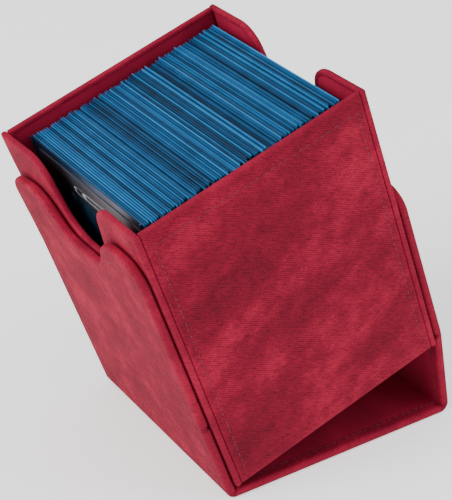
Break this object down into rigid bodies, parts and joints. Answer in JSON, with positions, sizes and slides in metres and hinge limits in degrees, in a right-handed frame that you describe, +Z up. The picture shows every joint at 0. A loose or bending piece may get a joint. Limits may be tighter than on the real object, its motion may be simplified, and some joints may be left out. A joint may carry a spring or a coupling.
{
  "type": "card deck box",
  "caption": "Fabric-covered deck box: a tray of sleeved cards with finger notches, leaning in its folding U-shaped cover.",
  "frame": {"origin": "centre of the cover base's underside", "axes": "+Z up, away from the surface it stands on; +Y to the back, along the fabric hinges; +X to the right, away from the side the tray leans to"},
  "size_m": [0.1115, 0.0782, 0.1222],
  "materials": {
    "outer_fabric": "crimson suede-like cloth with a fine woven grain",
    "lining": "dark red microfibre with a short nap",
    "board": "dense grey book board",
    "magnet": "nickel-plated disc magnet",
    "card": "coated playing-card stock",
    "sleeve": "matte blue polypropylene film"
  },
  "bodies": {
    "cover_base": {"cover_base_board": "board", "cover_base_skin": "outer_fabric", "cover_base_lining": "lining", "cover_left_corner_strip": "outer_fabric", "cover_right_corner_strip": "outer_fabric"},
    "cover_left_lower": {"cover_left_lower_board": "board", "cover_left_lower_skin": "outer_fabric", "cover_left_lower_lining": "lining", "cover_left_fold_strip": "outer_fabric"},
    "cover_left_upper": {"cover_left_upper_board": "board", "cover_left_upper_skin": "outer_fabric", "cover_left_upper_lining": "lining", "cover_left_upper_magnets": "magnet"},
    "cover_right_lower": {"cover_right_lower_board": "board", "cover_right_lower_skin": "outer_fabric", "cover_right_lower_lining": "lining", "cover_right_fold_strip": "outer_fabric"},
    "cover_right_upper": {"cover_right_upper_board": "board", "cover_right_upper_skin": "outer_fabric", "cover_right_upper_lining": "lining", "cover_right_upper_magnets": "magnet"},
    "tray": {"tray_front_board": "board", "tray_front_skin": "outer_fabric", "tray_front_lining": "lining", "tray_back_board": "board", "tray_back_skin": "outer_fabric", "tray_back_lining": "lining", "tray_left_board": "board", "tray_left_skin": "outer_fabric", "tray_left_lining": "lining", "tray_right_board": "board", "tray_right_skin": "outer_fabric", "tray_right_lining": "lining", "tray_floor_board": "board", "tray_floor_skin": "outer_fabric", "tray_floor_lining": "lining", "tray_left_magnets": "magnet", "tray_right_magnets": "magnet"},
    "deck": {"front_card": "card", "front_sleeve": "sleeve", "deck_cards": "card", "deck_sleeves": "sleeve"}
  },
  "joints": [
    {"name": "tilt", "type": "hinge", "parent": "cover_base", "child": "cover_left_lower", "pos_m": [-0.0387, 0, 0.0032], "axis": [0, 1, 0], "range_deg": [0, 18]},
    {"name": "left_fold", "type": "hinge", "parent": "cover_left_lower", "child": "cover_left_upper", "pos_m": [-0.04894, 0, 0.02889], "axis": [0, -1, 0], "range_deg": [0, 60]},
    {"name": "tray_lift", "type": "slide", "parent": "cover_left_lower", "child": "tray", "axis": [-0.309, 0, 0.9511], "range_m": [0, 0.1]},
    {"name": "deck_lift", "type": "slide", "parent": "tray", "child": "deck", "axis": [-0.309, 0, 0.9511], "range_m": [0, 0.095]},
    {"name": "right_corner", "type": "hinge", "parent": "cover_base", "child": "cover_right_lower", "pos_m": [0.0387, 0, 0.0032], "axis": [0, 1, 0], "range_deg": [0, 9.25]},
    {"name": "right_fold", "type": "hinge", "parent": "cover_right_lower", "child": "cover_right_upper", "pos_m": [0.03605, 0, 0.03073], "axis": [0, 1, 0], "range_deg": [0, 8.79]}
  ],
  "couplings": [
    {"joint": "right_corner", "follows": "tilt", "ratio": 0.51264},
    {"joint": "right_fold", "follows": "tilt", "ratio": 0.48736}
  ]
}
